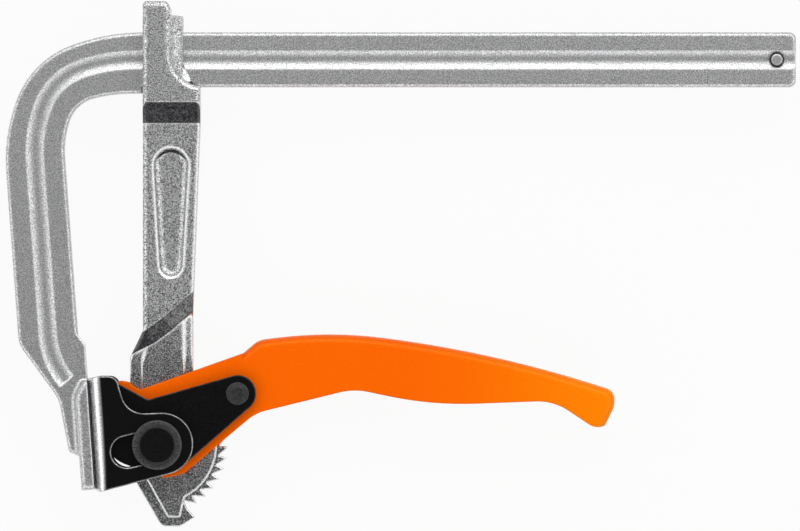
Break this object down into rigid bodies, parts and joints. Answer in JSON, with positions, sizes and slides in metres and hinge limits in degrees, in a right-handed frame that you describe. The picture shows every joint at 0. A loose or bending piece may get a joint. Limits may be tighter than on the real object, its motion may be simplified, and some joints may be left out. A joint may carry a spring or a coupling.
{
  "type": "quick release bar clamp",
  "caption": "Forged bar clamp: L-shaped rail with a fixed jaw, a sliding arm and a ratchet lever whose cam plates push the jaw bracket.",
  "frame": {"origin": "centre of the fixed jaw's face", "axes": "+X along the rail from the fixed jaw, +Y from the jaws up to the rail, +Z through the thickness"},
  "size_m": [0.2808, 0.1866, 0.033],
  "materials": {
    "rail_steel": "fine blasted and bright plated",
    "forged_steel": "coarse blasted forging, dark plated",
    "orange_paint": "gloss powder coat",
    "black_coat": "satin black coat",
    "black_oxide": "black oxide",
    "spring_steel": "bright drawn"
  },
  "bodies": {
    "rail_body": {"rail": "rail_steel", "rail_stop_pin": "rail_steel"},
    "arm_body": {"sliding_arm": "forged_steel", "pivot_pin": "black_oxide", "pivot_washer_front": "black_oxide", "pivot_washer_back": "black_oxide"},
    "lever_body": {"lever": "orange_paint", "cam_plate_front": "black_coat", "cam_plate_back": "black_coat", "pawl_rivet": "black_oxide", "pawl_spacer": "spring_steel", "pawl_spring": "spring_steel"},
    "bracket_body": {"pressure_bracket": "black_coat"},
    "pawl_body": {"pawl": "black_oxide"}
  },
  "joints": [
    {"name": "arm_slide", "type": "slide", "parent": "rail_body", "child": "arm_body", "axis": [1, 0, 0], "range_m": [0, 0.2078]},
    {"name": "lever_pivot", "type": "hinge", "parent": "arm_body", "child": "lever_body", "pos_m": [0.0236, -0.0036, 0], "axis": [0, 0, 1], "range_deg": [-63.7, 0]},
    {"name": "bracket_slide", "type": "slide", "parent": "arm_body", "child": "bracket_body", "axis": [0.9744, 0.225, 0], "range_m": [0, 0.0097]},
    {"name": "pawl_pivot", "type": "hinge", "parent": "lever_body", "child": "pawl_body", "pos_m": [0.05207, 0.01461, 0], "axis": [0, 0, 1], "range_deg": [-14, 2], "stiffness_Nm_per_rad": 0.05, "springref_deg": -28.65, "deforming": ["pawl_spring"]}
  ],
  "couplings": [
    {"joint": "bracket_slide", "follows": "lever_pivot", "m_per_rad": -0.0085047}
  ]
}
